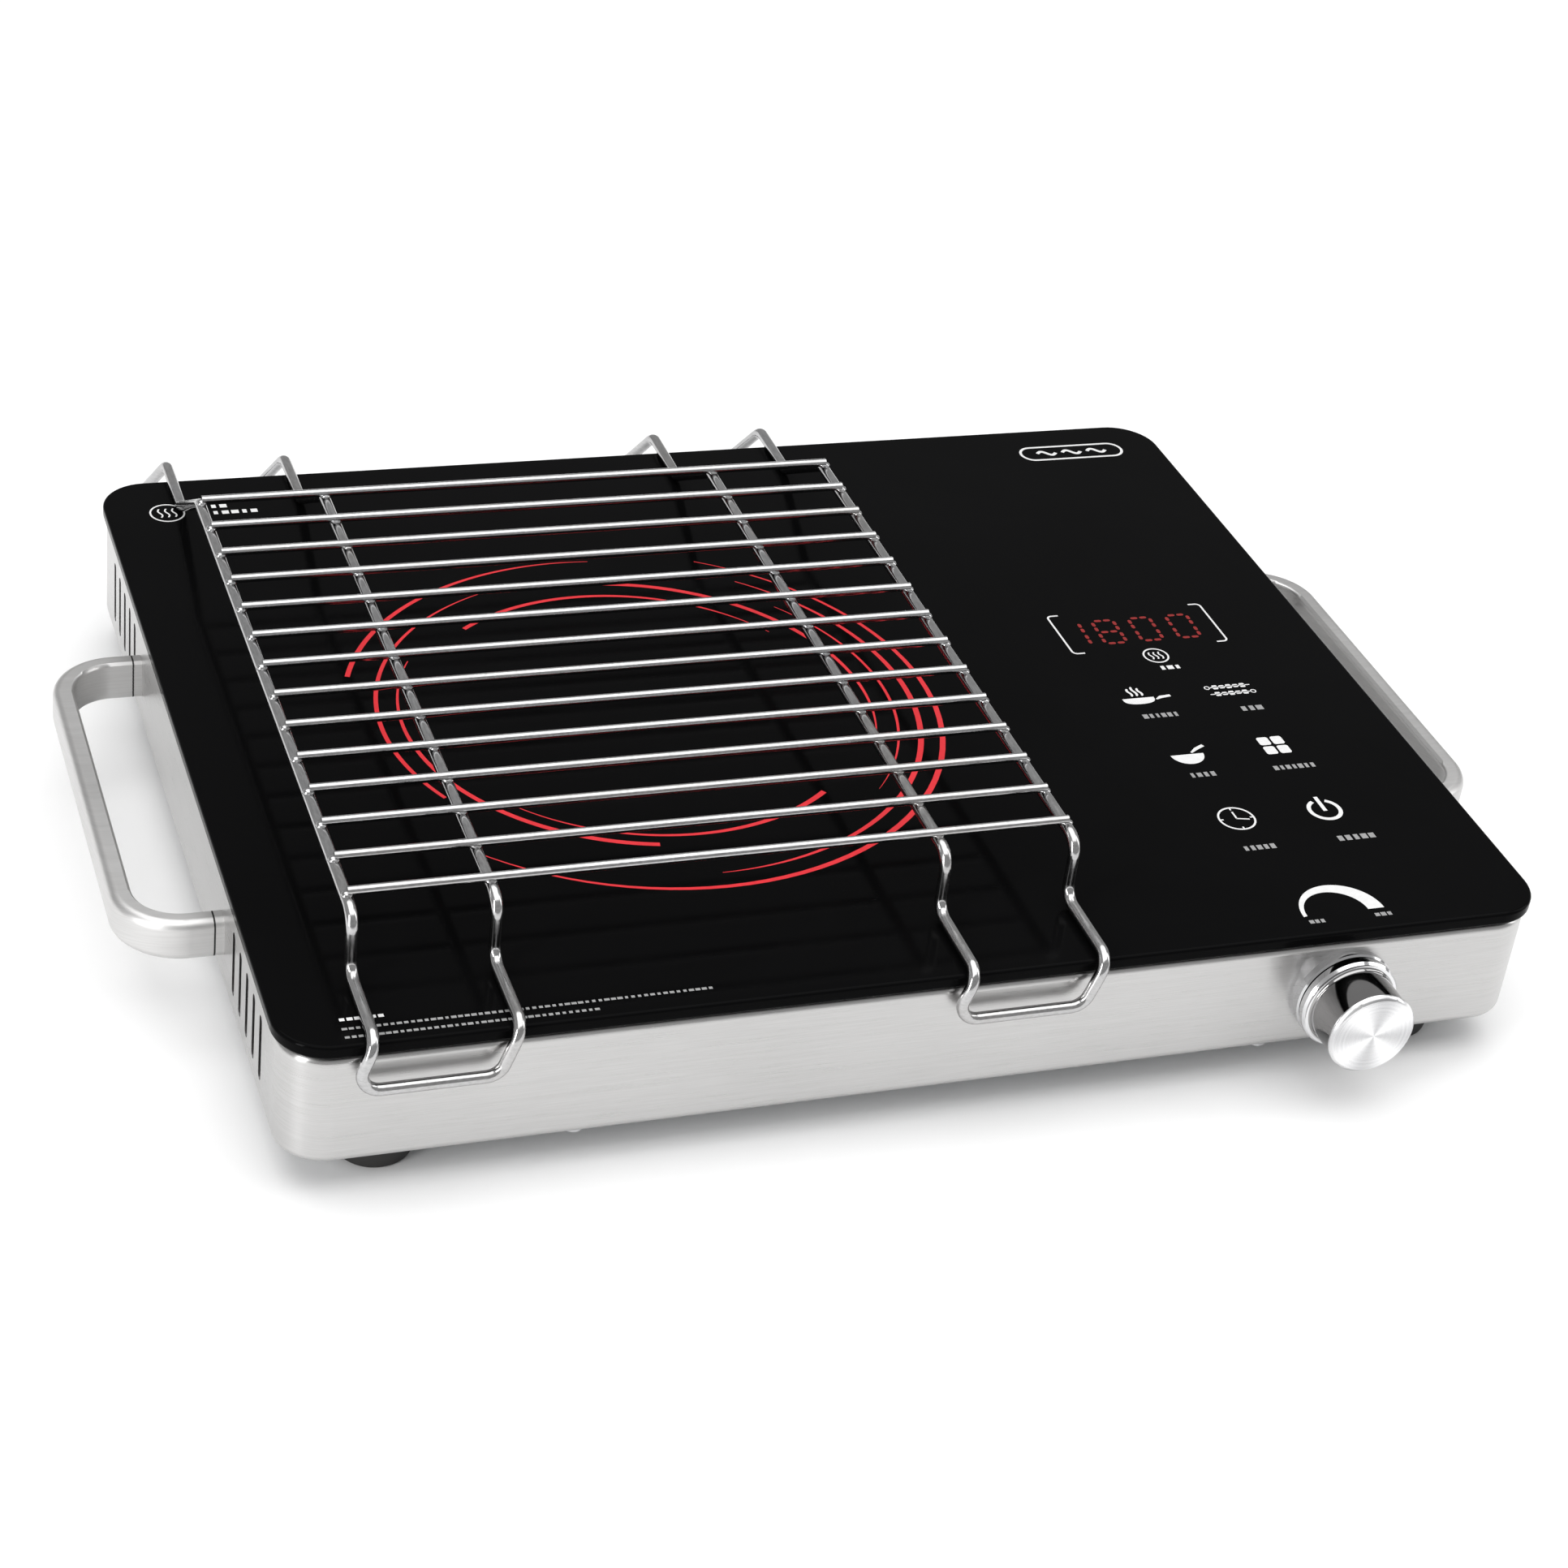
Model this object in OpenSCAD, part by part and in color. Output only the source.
/* [Glass top] */
// Width of the ceramic glass, side to side
glass_w = 360; // [340:1:440]
// Depth of the ceramic glass, front to back
glass_d = 290; // [270:1:350]
// Thickness of the glass
glass_t = 4; // [3:0.5:6]
// Corner radius of the glass, seen from above
glass_r = 14.5; // [14:0.5:24]
// Radius of the ground edge of the glass
glass_edge = 1; // [0.5:0.1:1.4]
// How far the glass stands past the housing wall
glass_lip = 1.2; // [0.5:0.1:3]
// Thickness of the silicone bead under the glass
seal_t = 1; // [0.5:0.1:2]

/* [Housing] */
// Height of the steel wall
wall_h = 34; // [32:0.5:44]
// Thickness of the steel sheet
sheet = 0.8; // [0.6:0.1:1.2]
// Radius of the roll along the top edge of the wall
top_roll = 2; // [1.4:0.1:3]
// Radius of the bend along the bottom edge of the wall
bottom_bend = 3; // [1.5:0.1:4]
// Width of the flange that carries the glass
top_flange = 10; // [8:0.5:12]
// Width of the flange that the base plate is screwed to
base_flange = 12; // [11:0.5:12.5]
// Thickness of the base plate
base_t = 1; // [0.8:0.1:1.6]
// How far the base plate stays inside the wall
base_inset = 3.5; // [3:0.1:5]

/* [Side vents] */
// Slots in each group
vent_count = 5; // [3:1:6]
// Distance from one slot to the next
vent_pitch = 9; // [6:0.5:10]
// Width of a slot
vent_w = 3; // [2:0.1:4]
// Height of a slot with its round ends
vent_h = 20.5; // [14:0.5:22]
// Distance from the glass's middle to the nearest slots, front and back
vent_from = 79; // [76:0.5:84]
// Height of the slots' middles above the housing's bottom edge
vent_up = 17.5; // [15:0.5:20]

/* [Feet] */
// Height of a rubber foot
foot_h = 10; // [9:0.5:16]
// Diameter of a rubber foot
foot_d = 24; // [20:0.5:28]
// Distance from the side wall to a foot's middle
foot_in_x = 28.5; // [21:0.5:30]
// Distance from the front or back wall to a foot's middle
foot_in_y = 19; // [18:0.5:24]

/* [Handles] */
// Height of the handle bar's section
bar_h = 12.5; // [9:0.5:14]
// Thickness of the handle bar's section
bar_t = 6; // [5:0.5:8]
// Reach of the handle from the wall
handle_reach = 28; // [26:0.5:40]
// Distance between the middles of the two legs
handle_span = 132; // [100:1:135]
// Outer bend radius of the handle
handle_bend = 19; // [14:0.5:22]
// Distance of the handle's middle behind the glass's middle
handle_back = 2.5; // [-3:0.5:3]

/* [Heater] */
// Distance of the heater's middle to the left of the glass's middle
heater_left = 47.5; // [40:0.5:60]
// Distance of the heater's middle in front of the glass's middle
heater_front = 5.5; // [0:0.5:10]
// Diameter of the heater's steel dish
dish_d = 196; // [170:1:200]
// Width of the insulating ring wall
ring_w = 11; // [8:0.5:14]
// Gap between the dish and the base plate, taken by the leaf springs
dish_lift = 7; // [5:0.5:9]
// Width of the heating ribbon, which stands on edge
ribbon_h = 5; // [3:0.5:7]
// Thickness of the heating ribbon
ribbon_t = 0.6; // [0.4:0.1:1]

/* [Dial] */
// Distance of the dial's axis to the right of the middle
dial_x = 119.5; // [110:0.5:125]
// Height of the dial's axis above the housing's bottom edge
dial_up = 16.6; // [15:0.1:17.5]
// Diameter of the knob's skirt
skirt_d = 29; // [26:0.5:30]
// Diameter of the knob's barrel
barrel_d = 25; // [22:0.2:26]
// Distance from the wall to the knob's face
knob_out = 20; // [18:0.5:26]
// Diameter of the shaft
shaft_d = 6; // [5:0.5:6.5]
// Diameter of the threaded bushing round the shaft
bushing_d = 9; // [8.5:0.1:10]

/* [Rack] */
// Diameter of the rack's frame wire
frame_wire = 3.4; // [3:0.1:4]
// Diameter of a rung
rung_wire = 2.6; // [2:0.1:3.2]
// Number of rungs
rung_count = 14; // [8:1:16]
// Distance from one rung to the next
rung_pitch = 15.6; // [10:0.1:16]
// Height of the frame wire's middle above the glass
rack_up = 20; // [14:0.5:30]
// Distance between the two long wires of one loop
loop_w = 37.6; // [30:0.2:44]
// Distance between the middles of the two loops
loop_apart = 161.4; // [130:0.2:170]
// Distance of the rack's middle to the left of the glass's middle
rack_left = 57.4; // [50:0.2:66]
// Gap between the hook wire and the edge of the glass
hook_gap = 1.2; // [1:0.1:4]
// Depth of the front hook below the glass's top face
hook_down = 12.5; // [8:0.5:16]
// How far the hooks lean to the left for each millimetre that they go down
hook_lean = 0.4; // [0:0.05:0.5]

/* [Fan] */
// Side of the square fan frame
fan_s = 60; // [50:1:60]
// Thickness of the fan
fan_t = 15; // [12:0.5:17]
// Number of fan blades
blade_count = 7; // [5:1:9]
// Distance of the fan's middle to the right of the glass's middle
fan_x = 118; // [112:0.5:124]
// Distance of the fan's middle in front of the glass's middle
fan_front = 70; // [66:0.5:74]

/* [Hidden] */
$fn = 64;

// clearances
run_clear = 0.05;      // a shaft turning in its bore, per side
slip_clear = 0.1;      // a screw in its hole, per side
part_gap = 0.4;        // pieces that stay apart, on different bodies
reach_past = 1;        // how far a cut runs past the face that it opens

// levels, from the surface that the feet stand on
base_z = foot_h;
floor_z = base_z + base_t;
wall_top = floor_z + wall_h;
glass_z = wall_top + seal_t;
glass_top_z = glass_z + glass_t;

// outline of the housing
body_w = glass_w - 2 * glass_lip;
body_d = glass_d - 2 * glass_lip;
body_r = glass_r - glass_lip;
wall_x = body_w / 2;
wall_y = body_d / 2;

// dial
dial_z = floor_z + dial_up;
bezel_t = 2.5;
bezel_over = 0.2;      // the bezel shows this much round the skirt
skirt_t = 3;
cap_t = 2.2;
cap_over = 0.4;        // the cap stands this much past the barrel
cap_chamfer = 1.3;
knob_back = bezel_t + part_gap;
nut_t = 2;
nut_across = bushing_d + 4;
nut_room = 0.5;
bushing_out = 4.5;     // the bushing's length outside the wall
pot_s = 17;
pot_deep = 9;
shaft_in = 6;          // the shaft's length inside the control's case
shaft_grip = 9;        // the shaft's length inside the knob's hub

// rack
rack_rest_gap = 0.3;
weld_sink = 0.5;
frame_bend = 5;
run_z = glass_top_z + rack_rest_gap + frame_wire / 2;
long_z = glass_top_z + rack_up;
rung_z = long_z + (frame_wire + rung_wire) / 2 - weld_sink;
rung_mid = -9.5;       // y of the middle of the row of rungs
rung_row = (rung_count - 1) * rung_pitch;
front_drop = 7.2;      // from the first rung to the front legs
rear_drop = 2;         // from the last rung to where the rear legs slope down
rear_slope = 31;       // how far back the rear legs slope
hook_y = glass_d / 2 + hook_gap + frame_wire / 2;
rear_level = 3.6;      // how far past the glass the rear runs stay level
rear_reach = 17;       // how far back the rear hooks splay
rear_down = 18;        // how far down the rear hooks go

// the glass's middle, set so that the whole object is centred front to back
front_end = wall_y + knob_out;
rear_end = hook_y + rear_reach + frame_wire / 2;
deck_y = (front_end - rear_end) / 2;

// heater
dish_z = floor_z + dish_lift;
dish_t = 0.8;
dish_r = dish_d / 2;
pad_t = 10;
dish_wall_h = glass_z - dish_z - 3;
ring_top_gap = 0.2;
pad_top = dish_z + dish_t + pad_t;
ribbon_z = pad_top - 2;
coil_room = dish_r - dish_t - ring_w;     // radius left inside the ring wall
coil_margin = 6;
coil_turns = 3;
coil_inner = [22, 42];
coil_outer = [50, coil_room - coil_margin];
rod_d = 4.4;
rod_up = 7.5;
rod_z = pad_top + rod_up;
rod_short = 16;        // the rod stops this far from the ring wall
limiter = [12, 18, 20];
heater_block = [26, 12, 14];
spring_w = 10;
spring_t = 0.5;
spring_foot = 10;
spring_ring = 68;
lead_d = 3;
lead_apart = 6;
lead_bend = 6;

// boards
board_t = 1.6;
panel = [76, 150];
panel_x = 122;
panel_y = -40;
panel_drop = 8;        // from the glass down to the touch board's underside
panel_z = glass_z - panel_drop;
panel_hole_in = 4;
post_d = 6;
screw3 = 3;
key_d = 8;
key_wall = 0.8;
key_x = [107.75, 137];
key_y = [-23.5, -55.5, -88.2];
display = [50, 19, 5.8];
display_at = [123, 15];
power = [98, 78];
power_x = 96;
power_y = 82;
power_lift = 5;
power_z = floor_z + power_lift;
power_top = power_z + board_t;
power_hole_in = 4;

// fan
fan_y = -fan_front;
fan_wall = 1.5;
fan_bore = fan_s / 2 - fan_wall;
fan_hole_in = 5;
fan_hole_d = 4.3;
blade_tip_gap = 1.2;
hub_d = 25;
fan_axle_d = 3;
spider_t = 2;
rotor_gap = 0.6;
rotor_h = fan_t - spider_t - 2 * rotor_gap;
grille_slot = 3;
grille_pitch = 6.5;
grille_count = 4;      // slots on each side of the middle one

// fasteners and the cord entry
screw4 = 4;
base_screw_x = 100;
gland_x = 120;
gland_up = 16;
gland_z = floor_z + gland_up;
gland_bore = 7.4;
gland_thread = 15;
gland_head = 21;
gland_head_t = 7;
gland_in = 9;
gland_nut_t = 4;
earth_at = [35, 118];
handle_z = floor_z + 16.4;
handle_bore = 8;       // depth of the screw's bore in a leg
handle_y = handle_span / 2;
foot_seat = 5;         // depth of the screw's seat inside a foot

// handle bar
rib_count = 8;
rib_deep = 0.25;
rib_pitch = (bar_h - 3.2) / rib_count;

// ---- shared shapes ----

// Moves a piece from the glass's middle to its place in the object's frame
module on_deck() {
    translate([0, deck_y, 0]) children();
}

// Corner points of an arc about c, from angle a to angle b
function arc(c, r, a, b, n = 6) =
    [for (i = [0:n]) c + r * [cos(a + (b - a) * i / n), sin(a + (b - a) * i / n)]];

// A flat section carried round a rounded rectangle; its x = 0 lies on the outline
module around(w, d, r) {
    for (k = [0:3]) {
        across = k % 2 == 0 ? w : d;
        along = k % 2 == 0 ? d : w;
        rotate([0, 0, 90 * k]) {
            translate([across / 2, along / 2 - r, 0])
                rotate([90, 0, 0]) linear_extrude(along - 2 * r) children();
            translate([across / 2 - r, along / 2 - r, 0])
                rotate_extrude(angle = 90) translate([r, 0]) children();
        }
    }
}

// A flat plate with round corners, standing on z = 0
module plate(w, d, r, t) {
    linear_extrude(t) {
        square([w - 2 * r, d], center = true);
        square([w, d - 2 * r], center = true);
        for (x = [-1, 1], y = [-1, 1])
            translate([x * (w / 2 - r), y * (d / 2 - r)]) circle(r);
    }
}

function unit(v) = v / norm(v);
function turn(p, i) = acos(unit(p[i] - p[i - 1]) * unit(p[i + 1] - p[i]));

// Places and directions along the bend of radius r at point i of path p
function bend(p, i, r, n) =
    let(a = unit(p[i] - p[i - 1]), b = unit(p[i + 1] - p[i]), w = turn(p, i),
        c = p[i] + unit(b - a) * r / cos(w / 2), x = unit(p[i] - a * r * tan(w / 2) - c))
    [for (k = [0:n]) [c + r * (cos(w * k / n) * x + sin(w * k / n) * a),
        cos(w * k / n) * a - sin(w * k / n) * x]];

// Places and directions along the whole path
function stations(p, r, n) = concat(
    [[p[0], unit(p[1] - p[0])]],
    [for (i = [1:len(p) - 2]) each bend(p, i, r, n)],
    [[p[len(p) - 1], unit(p[len(p) - 1] - p[len(p) - 2])]]);

// Turns v by the smallest turn that takes direction a to direction b
function carry(v, a, b) =
    let(w = cross(a, b)) v * (a * b) + cross(w, v) + w * (w * v) / (1 + a * b);

// Rings of points round the path, carried along it without twist
function rings(at, d, sides, side) =
    [for (i = 0, v = side; i < len(at);
            v = i < len(at) - 1 ? carry(v, at[i][1], at[i + 1][1]) : v, i = i + 1)
        [for (k = [0:sides - 1]) at[i][0] + d / 2 * (cos(360 * k / sides) * v
            + sin(360 * k / sides) * cross(at[i][1], v))]];

// Skin between one ring of points and the next; a loop closes on its first ring
function skin(count, sides, looped) =
    [for (j = [0:count - (looped ? 1 : 2)], k = [0:sides - 1])
        let(n = (j + 1) % count, m = (k + 1) % sides)
        [j * sides + k, n * sides + k, n * sides + m, j * sides + m]];

// A round tube through points p, bent to radius r, with a flat end at each end
module tube(p, d, r, sides, steps, side) {
    at = rings(stations(p, r, steps), d, sides, side);
    n = len(at);
    polyhedron([for (q = at) each q], concat(skin(n, sides, false),
        [[for (k = [0:sides - 1]) k], [for (k = [sides - 1:-1:0]) (n - 1) * sides + k]]));
}

// A closed wire loop: p is its left half, from the plane x = mid and back to it.
// Below the level hang, it leans to the left
module wire_loop(p, mid, d, r, sides, steps, hang) {
    half = rings(stations(p, r, steps), d, sides, [0, 0, 1]);
    other = [for (i = [len(half) - 2:-1:1]) [for (q = half[i]) [2 * mid - q.x, q.y, q.z]]];
    at = concat(half, other);
    polyhedron([for (q = at) each [for (v = q) v - [hook_lean * max(0, hang - v.z), 0, 0]]],
        skin(len(at), sides, true));
}

// A pan-head screw: its head's underside is at z = 0 and its shank points up
module screw(d, long, head_d, head_t) {
    cylinder(d = d, h = long);
    difference() {
        translate([0, 0, -head_t]) cylinder(d = head_d, h = head_t);
        for (a = [0, 90])
            rotate([0, 0, a]) translate([0, 0, -head_t])
                cube([head_d * 0.55, d * 0.25, head_t], center = true);
    }
}

// A hexagon nut standing on z = 0
module hex_nut(across, hole, t) {
    difference() {
        cylinder(d = across / cos(30), h = t, $fn = 6);
        translate([0, 0, -reach_past]) cylinder(d = hole, h = t + 2 * reach_past);
    }
}

// Puts children at the four corners of a w by d rectangle
module corners(w, d) {
    for (x = [-1, 1], y = [-1, 1]) translate([x * w / 2, y * d / 2, 0]) children();
}

// ---- housing ----

// Section of the wall with its two flanges; x = 0 is the outer face
module wall_section() {
    s = sheet;
    roll = wall_h - top_roll;
    polygon(concat(
        [[-base_flange, 0]],
        arc([-bottom_bend, bottom_bend], bottom_bend, 270, 360),
        arc([-top_roll, roll], top_roll, 0, 90),
        [[-top_flange, wall_h], [-top_flange, wall_h - s]],
        arc([-top_roll, roll], top_roll - s, 90, 0),
        arc([-bottom_bend, bottom_bend], bottom_bend - s, 360, 270),
        [[-base_flange, s]]));
}

// One upright slot through a side wall, with round ends
module vent_slot() {
    rotate([0, 90, 0]) translate([0, 0, -2 * sheet]) {
        for (e = [-1, 1]) translate([e * (vent_h - vent_w) / 2, 0, 0])
            cylinder(d = vent_w, h = 4 * sheet);
        translate([0, 0, 2 * sheet]) cube([vent_h - vent_w, vent_w, 4 * sheet], center = true);
    }
}

module base_screw_places() {
    row_y = wall_y - base_flange / 2 - 1;
    row_x = wall_x - base_flange / 2 - 1;
    for (x = [-1, 1], y = [-1, 1]) translate([x * base_screw_x, y * row_y, 0]) children();
    for (x = [-1, 1]) translate([x * row_x, 0, 0]) children();
}

module housing() {
    on_deck() color([0.80, 0.80, 0.81]) difference() {
        translate([0, 0, floor_z]) around(body_w, body_d, body_r) wall_section();
        for (side = [-1, 1], group = [-1, 1], i = [0:vent_count - 1])
            translate([side * (wall_x - sheet / 2),
                    group * (vent_from + i * vent_pitch), floor_z + vent_up])
                vent_slot();
        for (side = [-1, 1], y = [-1, 1])
            translate([side * wall_x, handle_back + y * handle_y, handle_z]) rotate([0, 90, 0])
                cylinder(d = screw3 + 2 * slip_clear, h = 4 * sheet, center = true);
        translate([dial_x, -wall_y, dial_z]) rotate([90, 0, 0])
            cylinder(d = bushing_d + 2 * slip_clear, h = 4 * sheet, center = true);
        translate([gland_x, wall_y, gland_z]) rotate([90, 0, 0])
            cylinder(d = gland_thread + 2 * slip_clear, h = 4 * sheet, center = true);
        base_screw_places() translate([0, 0, floor_z - reach_past])
            cylinder(d = screw3 + 2 * slip_clear, h = sheet + 2 * reach_past);
    }
}

module foot_places() {
    corners(body_w - 2 * foot_in_x, body_d - 2 * foot_in_y) children();
}

// Slots in the base plate whose ends follow a circle of radius r
module grille(r, pitch, slots) {
    for (i = [-slots:slots]) {
        half = sqrt(max(r * r - (i * pitch) * (i * pitch), pitch));
        translate([0, i * pitch, 0]) cube([2 * half, grille_slot, 4 * base_t], center = true);
    }
}

module base_plate() {
    on_deck() color([0.62, 0.63, 0.64]) difference() {
        translate([0, 0, base_z])
            plate(body_w - 2 * base_inset, body_d - 2 * base_inset, body_r - base_inset, base_t);
        translate([fan_x, fan_y, base_z])
            grille(fan_bore - 2, grille_pitch, grille_count);
        for (x = [-1, 1])
            translate([-heater_left + x * spring_ring, -heater_front, base_z])
                grille(spring_ring / 3, grille_pitch, 3);
        translate([0, 0, base_z - reach_past]) {
            cut = base_t + 2 * reach_past;
            base_screw_places() cylinder(d = screw3 + 2 * slip_clear, h = cut);
            foot_places() cylinder(d = screw4 + 2 * slip_clear, h = cut);
            translate([fan_x, fan_y, 0]) corners(fan_s - 2 * fan_hole_in, fan_s - 2 * fan_hole_in)
                cylinder(d = screw3 + 2 * slip_clear, h = cut);
            translate([earth_at.x, earth_at.y, 0]) cylinder(d = screw4 + 2 * slip_clear, h = cut);
        }
    }
}

module base_screws() {
    on_deck() color([0.72, 0.72, 0.72]) base_screw_places()
        translate([0, 0, base_z]) screw(screw3, base_t + sheet + 3, 6, 1.6);
}

// ---- feet ----

module foot(x, y) {
    on_deck() color([0.13, 0.13, 0.13])
        translate([x * (wall_x - foot_in_x), y * (wall_y - foot_in_y), 0]) difference() {
            rotate_extrude() polygon(concat([[0, 0]],
                arc([foot_d / 2 - 3, 1.5], 1.5, 270, 340, 4),
                [[foot_d / 2, foot_h - 1], [foot_d / 2, foot_h], [0, foot_h]]));
            translate([0, 0, -reach_past]) cylinder(d = 10, h = foot_seat + reach_past);
            cylinder(d = screw4 + 2 * slip_clear, h = foot_h + reach_past);
        }
}

module foot_screws() {
    on_deck() color([0.72, 0.72, 0.72]) foot_places()
        translate([0, 0, foot_seat]) screw(screw4, foot_h - foot_seat + base_t + 5, 8, 2);
}

module foot_nuts() {
    on_deck() color([0.72, 0.72, 0.72]) foot_places()
        translate([0, 0, floor_z]) hex_nut(7, screw4 + 2 * slip_clear, 3.2);
}

// ---- glass ----

module glass_top() {
    core = glass_r - 4;
    e = glass_edge;
    on_deck() color([0.03, 0.03, 0.035]) translate([0, 0, glass_z]) {
        around(glass_w, glass_d, glass_r) polygon(concat(
            [[-core, 0]],
            arc([-e, e], e, 270, 360),
            arc([-e, glass_t - e], e, 0, 90),
            [[-core, glass_t]]));
        plate(glass_w - 2 * core, glass_d - 2 * core, glass_r - core, glass_t);
    }
}

module glass_seal() {
    on_deck() color([0.06, 0.06, 0.06]) translate([0, 0, wall_top])
        around(body_w, body_d, body_r)
            translate([-top_flange, 0]) square([top_flange - top_roll, seal_t]);
}

// ---- handles ----

// Section of the bar: x runs outwards, and the inner face keeps fine ribs
module bar_section() {
    h = bar_h / 2;
    t = bar_t / 2;
    soft = bar_t * 0.45;
    polygon(concat(
        [[-t, -h + 0.8], [-t + 0.8, -h]],
        arc([t - soft, -h + soft], soft, 270, 360, 5),
        arc([t - soft, h - soft], soft, 0, 90, 5),
        [[-t + 0.8, h], [-t, h - 0.8]],
        [for (i = [0:rib_count - 1], k = [0, 1])
            [-t + (k == 0 ? 0 : rib_deep), h - 1.6 - (i + k * 0.5) * rib_pitch]]));
}

module handle(side) {
    mid_r = handle_bend - bar_t / 2;
    leg = handle_reach - handle_bend;
    grip = handle_span + bar_t - 2 * handle_bend;
    on_deck() color([0.78, 0.78, 0.79]) mirror([side < 0 ? 1 : 0, 0, 0])
        translate([wall_x, handle_back, handle_z]) difference() {
            union() {
                for (y = [-1, 1]) mirror([0, y < 0 ? 1 : 0, 0]) {
                    translate([0, handle_y, 0]) rotate([0, 0, 90]) rotate([90, 0, 0])
                        linear_extrude(leg) bar_section();
                    translate([leg, handle_y - mid_r, 0])
                        rotate_extrude(angle = 90) translate([mid_r, 0]) bar_section();
                }
                translate([leg + mid_r, grip / 2, 0]) rotate([90, 0, 0])
                    linear_extrude(grip) bar_section();
            }
            for (y = [-1, 1]) translate([-reach_past, y * handle_y, 0]) rotate([0, 90, 0])
                cylinder(d = screw3 + 2 * run_clear, h = reach_past + handle_bore);
        }
}

module handle_screws() {
    on_deck() color([0.72, 0.72, 0.72])
        for (side = [-1, 1], y = [-1, 1]) mirror([side < 0 ? 1 : 0, 0, 0])
            translate([wall_x - sheet, handle_back + y * handle_y, handle_z]) rotate([0, 90, 0])
                screw(screw3, sheet + handle_bore - 0.5, 6, 2);
}

// ---- dial: along its axis, z = 0 is the wall's outer face and +z points to the front ----

module on_dial() {
    on_deck() translate([dial_x, -wall_y, dial_z]) rotate([90, 0, 0]) children();
}

module knob_bezel() {
    on_dial() color([0.55, 0.55, 0.56]) difference() {
        rotate_extrude() polygon([[nut_across / 2 + 2, 0], [skirt_d / 2 + bezel_over, 0],
            [skirt_d / 2 + bezel_over, bezel_t - 0.5], [skirt_d / 2 + bezel_over - 0.5, bezel_t],
            [nut_across / 2 + 2, bezel_t]]);
    }
}

module knob_body() {
    cap_z = knob_out - cap_t;
    room_r = nut_across / 2 / cos(30) + nut_room;
    room_z = bushing_out + 1;
    bore_r = shaft_d / 2 + run_clear;
    on_dial() color([0.70, 0.70, 0.71]) rotate_extrude() polygon(concat(
        [[room_r, knob_back]],
        [[skirt_d / 2 - 0.4, knob_back], [skirt_d / 2, knob_back + 0.4]],
        [[skirt_d / 2, knob_back + skirt_t - 0.8], [skirt_d / 2 - 0.6, knob_back + skirt_t]],
        arc([barrel_d / 2 + 1.2, knob_back + skirt_t + 1.2], 1.2, 270, 180, 4),
        [[barrel_d / 2, cap_z], [bore_r, cap_z], [bore_r, room_z], [room_r, room_z]]));
}

module knob_cap() {
    r = barrel_d / 2 + cap_over;
    on_dial() color([0.86, 0.86, 0.87]) translate([0, 0, knob_out - cap_t]) rotate_extrude()
        polygon([[0, 0], [r - 0.3, 0], [r, 0.3], [r, cap_t - cap_chamfer],
            [r - cap_chamfer, cap_t], [0, cap_t]]);
}

module control_case() {
    on_dial() color([0.30, 0.32, 0.34]) difference() {
        union() {
            translate([0, 0, -sheet - pot_deep / 2]) cube([pot_s, pot_s, pot_deep], center = true);
            translate([0, 0, -sheet - 0.1]) cylinder(d = bushing_d, h = sheet + 0.1 + bushing_out);
        }
        translate([0, 0, -sheet - shaft_in - 0.5])
            cylinder(d = shaft_d + 2 * run_clear, h = shaft_in + sheet + bushing_out + 2);
    }
}

module control_nut() {
    on_dial() color([0.75, 0.72, 0.60])
        hex_nut(nut_across, bushing_d + 2 * run_clear, nut_t);
}

module control_shaft() {
    on_dial() color([0.75, 0.76, 0.78]) translate([0, 0, -sheet - shaft_in])
        cylinder(d = shaft_d, h = sheet + shaft_in + bushing_out + 1 + shaft_grip);
}

// ---- touch board ----

module on_panel() {
    on_deck() translate([panel_x, panel_y, 0]) children();
}

module panel_holes() {
    corners(panel.x - 2 * panel_hole_in, panel.y - 2 * panel_hole_in) children();
}

module touch_board() {
    on_panel() color([0.05, 0.30, 0.16]) translate([0, 0, panel_z]) difference() {
        translate([0, 0, board_t / 2]) cube([panel.x, panel.y, board_t], center = true);
        translate([0, 0, -reach_past]) panel_holes()
            cylinder(d = screw3 + 2 * slip_clear, h = board_t + 2 * reach_past);
    }
}

module touch_board_posts() {
    on_panel() color([0.85, 0.78, 0.45]) panel_holes() translate([0, 0, floor_z]) difference() {
        cylinder(d = post_d, h = panel_z - floor_z);
        translate([0, 0, panel_z - floor_z - 8])
            cylinder(d = screw3 + 2 * run_clear, h = 8 + reach_past);
    }
}

// Four digits sit as shallow windows in the display's top
module display_module() {
    digit = [8, 13, 1];
    on_deck() color([0.10, 0.10, 0.10])
        translate([display_at.x, display_at.y, panel_z + board_t]) difference() {
            translate([0, 0, display.z / 2]) cube(display, center = true);
            for (i = [-1.5:1:1.5]) translate([i * 11, 0, display.z]) cube(digit, center = true);
        }
}

module touch_springs() {
    z = panel_z + board_t;
    on_deck() color([0.80, 0.70, 0.40]) for (x = key_x, y = key_y)
        translate([x, y, z]) difference() {
            cylinder(d = key_d, h = glass_z - z);
            translate([0, 0, -reach_past])
                cylinder(d = key_d - 2 * key_wall, h = glass_z - z - 0.6 + reach_past);
        }
}

module power_holes() {
    corners(power.x - 2 * power_hole_in, power.y - 2 * power_hole_in) children();
}

module board_screws() {
    on_panel() color([0.75, 0.75, 0.76]) panel_holes()
        translate([0, 0, panel_z + board_t]) mirror([0, 0, 1]) screw(screw3, board_t + 5, 5.5, 1.8);
    on_power() color([0.75, 0.75, 0.76]) power_holes()
        translate([0, 0, power_top]) mirror([0, 0, 1]) screw(screw3, board_t + 4, 5.5, 1.8);
}

// ---- heater ----

module on_heater() {
    on_deck() translate([-heater_left, -heater_front, 0]) children();
}

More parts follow.
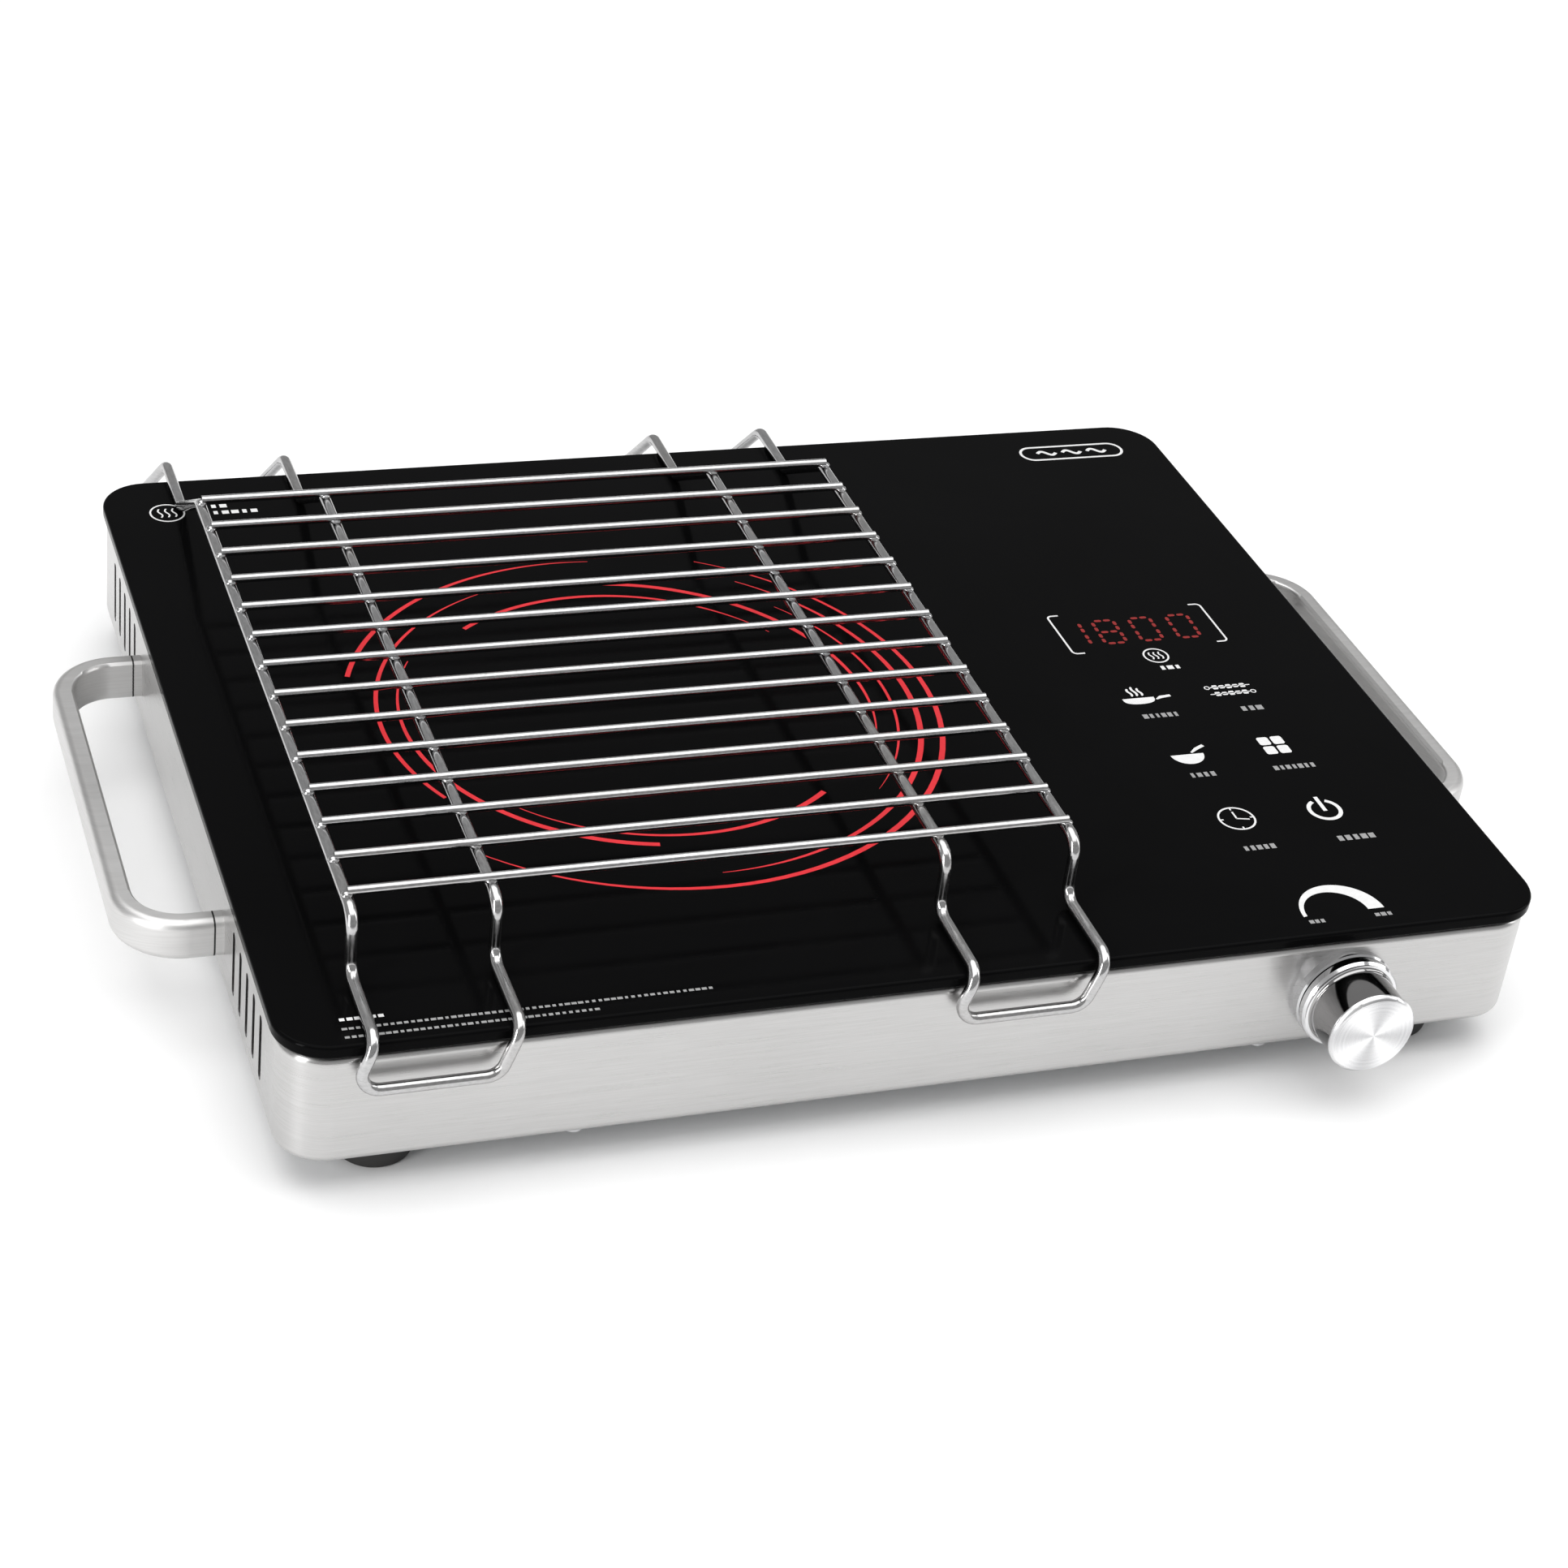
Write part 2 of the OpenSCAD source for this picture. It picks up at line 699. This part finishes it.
// Hole for the limiter rod, along +x from the heater's middle
module rod_hole() {
    translate([coil_room - 2, 0, rod_z]) rotate([0, 90, 0])
        cylinder(d = rod_d + 2 * slip_clear, h = ring_w + dish_t + 4);
}

module heater_dish() {
    on_heater() color([0.70, 0.70, 0.70]) difference() {
        translate([0, 0, dish_z]) rotate_extrude() polygon([[0, 0], [dish_r, 0],
            [dish_r, dish_wall_h], [dish_r - dish_t, dish_wall_h], [dish_r - dish_t, dish_t],
            [0, dish_t]]);
        rod_hole();
    }
}

module insulation_pad() {
    on_heater() color([0.93, 0.92, 0.88]) translate([0, 0, dish_z + dish_t])
        difference() {
            cylinder(r = dish_r - dish_t, h = pad_t);
            translate([0, 0, ribbon_z - dish_z - dish_t])
                for (c = [coil_inner, coil_outer])
                    rotate_extrude() translate([c[0] - 2, 0]) square([c[1] - c[0] + 4, pad_t]);
        }
}

module insulation_ring() {
    on_heater() color([0.90, 0.89, 0.84]) difference() {
        translate([0, 0, pad_top]) rotate_extrude()
            translate([coil_room, 0]) square([ring_w, glass_z - ring_top_gap - pad_top]);
        rod_hole();
    }
}

// A ribbon on edge that winds outwards from radius r[0] to r[1]
module ribbon(r, first) {
    steps = 48 * coil_turns;
    function at(i, off) = let(a = first + 360 * coil_turns * i / steps,
        q = r[0] + (r[1] - r[0]) * i / steps + off) [q * cos(a), q * sin(a)];
    linear_extrude(ribbon_h) polygon(concat(
        [for (i = [0:steps]) at(i, -ribbon_t / 2)],
        [for (i = [steps:-1:0]) at(i, ribbon_t / 2)]));
}

module heating_coil_inner() {
    on_heater() color([0.62, 0.55, 0.50]) translate([0, 0, ribbon_z]) ribbon(coil_inner, 0);
}

module heating_coil_outer() {
    on_heater() color([0.62, 0.55, 0.50]) translate([0, 0, ribbon_z]) ribbon(coil_outer, 90);
}

module limiter_rod() {
    on_heater() color([0.80, 0.80, 0.80]) translate([rod_short - coil_room, 0, rod_z]) rotate([0, 90, 0])
        cylinder(d = rod_d, h = coil_room - rod_short + dish_r + part_gap);
}

module limiter_switch() {
    on_heater() color([0.90, 0.88, 0.82])
        translate([dish_r + part_gap + limiter.x / 2, 0, rod_z - 3]) cube(limiter, center = true);
}

module heater_terminal() {
    b = heater_block;
    on_heater() color([0.92, 0.90, 0.84]) translate([0, dish_r + b.y / 2, dish_z + 7 + b.z / 2])
        difference() {
            cube(b, center = true);
            for (x = [-1, 1]) translate([x * b.x / 4, 0, b.z / 2 - 3])
                cylinder(d = 5, h = 4);
        }
}

// A bent leaf: a foot on the base plate, a slope, and a tongue under the dish
module leaf_spring() {
    t = spring_t;
    h = dish_lift;
    rise = 14;
    rotate([90, 0, 0]) linear_extrude(spring_w, center = true) polygon([[0, 0], [spring_foot, 0],
        [spring_foot + rise, h - t], [2 * spring_foot + rise, h - t], [2 * spring_foot + rise, h],
        [spring_foot + rise - t, h], [spring_foot - t, t], [0, t]]);
}

module heater_springs() {
    on_heater() color([0.65, 0.65, 0.66]) for (a = [45:90:315]) rotate([0, 0, a])
        translate([spring_ring - spring_foot - 7, 0, floor_z]) leaf_spring();
}

module heater_leads() {
    b = heater_block;
    from_x = -heater_left + b.x / 2;
    from_y = -heater_front + dish_r + b.y / 2;
    from_z = dish_z + 7 + b.z / 2;
    to_x = power_x - power.x / 2 + 7;
    to_y = from_y - 10;
    lead_z = from_z + 6;
    on_deck() color([0.75, 0.20, 0.15]) for (k = [-1, 1])
        tube([[from_x, from_y + k * lead_apart / 2, from_z],
            [from_x + 22, from_y + k * lead_apart / 2, from_z],
            [from_x + 44, to_y + k * lead_apart / 2, lead_z],
            [to_x + (1 - k) * lead_apart / 2, to_y + k * lead_apart / 2, lead_z],
            [to_x + (1 - k) * lead_apart / 2, to_y + k * lead_apart / 2, power_top]],
            lead_d, lead_bend, 8, 3, [0, 0, 1]);
}

// ---- fan ----

module on_fan() {
    on_deck() translate([fan_x, fan_y, floor_z]) children();
}

module fan_frame() {
    boss_d = 12;
    on_fan() color([0.10, 0.10, 0.10]) difference() {
        union() {
            difference() {
                plate(fan_s, fan_s, 4, fan_t);
                translate([0, 0, -reach_past]) cylinder(r = fan_bore, h = fan_t + 2 * reach_past);
            }
            translate([0, 0, fan_t - spider_t]) {
                for (a = [45:90:315]) rotate([0, 0, a]) translate([0, -1.5, 0])
                    cube([fan_bore + 1.5, 3, spider_t]);
                cylinder(d = hub_d, h = spider_t);
            }
        }
        translate([0, 0, fan_t / 2]) cylinder(d = fan_axle_d + 2 * run_clear, h = fan_t);
        translate([0, 0, -reach_past]) corners(fan_s - 2 * fan_hole_in, fan_s - 2 * fan_hole_in)
            cylinder(d = fan_hole_d, h = fan_t + 2 * reach_past);
    }
}

module fan_rotor() {
    blade_r = fan_bore - blade_tip_gap;
    on_fan() color([0.14, 0.14, 0.15]) translate([0, 0, rotor_gap]) {
        cylinder(d = hub_d, h = rotor_h);
        cylinder(d = fan_axle_d, h = fan_t - rotor_gap);
        intersection() {
            difference() {
                cylinder(r = blade_r, h = rotor_h);
                translate([0, 0, -reach_past]) cylinder(d = hub_d - 1, h = rotor_h + 2 * reach_past);
            }
            for (i = [0:blade_count - 1]) rotate([0, 0, 360 * i / blade_count])
                translate([blade_r / 2, 0, rotor_h / 2]) rotate([50, 0, 0])
                    cube([blade_r, 1.2, rotor_h * 2], center = true);
        }
    }
}

module fan_screws() {
    on_fan() color([0.72, 0.72, 0.72]) corners(fan_s - 2 * fan_hole_in, fan_s - 2 * fan_hole_in)
        translate([0, 0, -base_t]) screw(screw3, base_t + fan_t - 2, 5.6, 1.6);
}

// ---- power board ----

module on_power() {
    on_deck() translate([power_x, power_y, 0]) children();
}

module power_board() {
    on_power() color([0.45, 0.36, 0.16]) translate([0, 0, power_z]) difference() {
        translate([0, 0, board_t / 2]) cube([power.x, power.y, board_t], center = true);
        translate([0, 0, -reach_past]) power_holes()
            cylinder(d = screw3 + 2 * slip_clear, h = board_t + 2 * reach_past);
    }
}

module power_board_posts() {
    on_power() color([0.85, 0.78, 0.45]) power_holes() translate([0, 0, floor_z]) difference() {
        cylinder(d = post_d, h = power_lift);
        translate([0, 0, -reach_past])
            cylinder(d = screw3 + 2 * run_clear, h = power_lift + 2 * reach_past);
    }
}

module heat_sink() {
    fins = 7;
    pitch = 6;
    long = 30;
    on_power() color([0.75, 0.75, 0.77]) translate([4, -20, power_top]) {
        translate([0, 0, 1.5]) cube([(fins - 1) * pitch + 1.5, long, 3], center = true);
        for (i = [0:fins - 1]) translate([(i - (fins - 1) / 2) * pitch, 0, 9])
            cube([1.5, long, 18], center = true);
    }
}

module relay() {
    on_power() color([0.12, 0.25, 0.55]) translate([-24, 14, power_top + 7.8])
        cube([19, 15.5, 15.6], center = true);
}

module capacitor() {
    on_power() color([0.15, 0.15, 0.35]) translate([2, 14, power_top]) cylinder(d = 14, h = 19);
}

module choke() {
    on_power() color([0.70, 0.42, 0.22]) translate([22, 12, power_top + 4])
        rotate_extrude() translate([7, 0]) circle(r = 4);
}

module transformer() {
    on_power() color([0.30, 0.30, 0.30]) translate([-28, -18, power_top]) {
        translate([0, 0, 10]) cube([12, 28, 20], center = true);
        translate([0, 0, 10]) cube([24, 16, 14], center = true);
    }
}

module mains_terminal() {
    b = [30, 11, 13];
    on_power() color([0.90, 0.90, 0.88])
        translate([12, power.y / 2 - b.y / 2 - 1, power_top + b.z / 2]) difference() {
            cube(b, center = true);
            for (i = [-1, 0, 1]) translate([i * 9, 0, b.z / 2 - 3]) cylinder(d = 5, h = 4);
        }
}

// ---- cord entry: along its axis, z = 0 is the rear wall's outer face ----

module on_gland() {
    on_deck() translate([gland_x, wall_y, gland_z]) rotate([-90, 0, 0]) children();
}

module cord_gland() {
    on_gland() color([0.10, 0.10, 0.10]) rotate_extrude() polygon([
        [gland_bore / 2, -sheet - gland_in], [gland_thread / 2, -sheet - gland_in],
        [gland_thread / 2, 0], [gland_head / 2, 0], [gland_head / 2, gland_head_t - 3],
        [gland_head / 2 - 3, gland_head_t], [gland_bore / 2, gland_head_t]]);
}

module gland_nut() {
    on_gland() color([0.12, 0.12, 0.12]) translate([0, 0, -sheet - gland_nut_t])
        hex_nut(gland_head, gland_thread + 2 * run_clear, gland_nut_t);
}

module earth_screw() {
    on_deck() translate([earth_at.x, earth_at.y, 0]) color([0.80, 0.68, 0.30]) {
        translate([0, 0, base_z]) screw(screw4, base_t + 9, 7.5, 1.8);
    }
}

// ---- rack ----

// One closed loop of wire; its left half starts in the middle of the front crossbar
module rack_loop(side) {
    x = -rack_left + side * loop_apart / 2;
    a = x - loop_w / 2;
    front_hook_z = glass_top_z - hook_down;
    drop_y = rung_mid - rung_row / 2 - front_drop;
    rear_y = rung_mid + rung_row / 2 + rear_drop;
    slope_y = rear_y + rear_slope;
    end_y = hook_y + rear_reach;
    end_z = run_z - rear_down;
    on_deck() color([0.72, 0.72, 0.73]) wire_loop([
        [x, -hook_y, front_hook_z], [a, -hook_y, front_hook_z], [a, -hook_y, run_z],
        [a, drop_y, run_z], [a, drop_y, long_z], [a, rear_y, long_z], [a, slope_y, run_z],
        [a, hook_y + rear_level, run_z], [a, end_y, end_z], [x, end_y, end_z]],
        x, frame_wire, frame_bend, 12, 5, run_z - frame_wire / 2);
}

module rack_loop_left() { rack_loop(-1); }
module rack_loop_right() { rack_loop(1); }

module rack_rungs() {
    long = loop_apart + loop_w;
    on_deck() color([0.76, 0.76, 0.77]) for (i = [0:rung_count - 1])
        translate([-rack_left - long / 2, rung_mid - rung_row / 2 + i * rung_pitch, rung_z])
            rotate([0, 90, 0]) cylinder(d = rung_wire, h = long);
}

module handle_left() { handle(-1); }
module handle_right() { handle(1); }
module foot_front_left() { foot(-1, -1); }
module foot_front_right() { foot(1, -1); }
module foot_rear_left() { foot(-1, 1); }
module foot_rear_right() { foot(1, 1); }

housing();
base_plate();
glass_top();
glass_seal();
handle_left();
handle_right();
handle_screws();
base_screws();
foot_front_left();
foot_front_right();
foot_rear_left();
foot_rear_right();
foot_screws();
foot_nuts();
knob_bezel();
knob_body();
knob_cap();
control_case();
control_nut();
control_shaft();
touch_board();
display_module();
touch_springs();
touch_board_posts();
board_screws();
heater_dish();
insulation_pad();
insulation_ring();
heating_coil_inner();
heating_coil_outer();
limiter_rod();
limiter_switch();
heater_terminal();
heater_springs();
heater_leads();
fan_frame();
fan_rotor();
fan_screws();
power_board();
power_board_posts();
heat_sink();
relay();
capacitor();
choke();
transformer();
mains_terminal();
cord_gland();
gland_nut();
earth_screw();
rack_loop_left();
rack_loop_right();
rack_rungs();
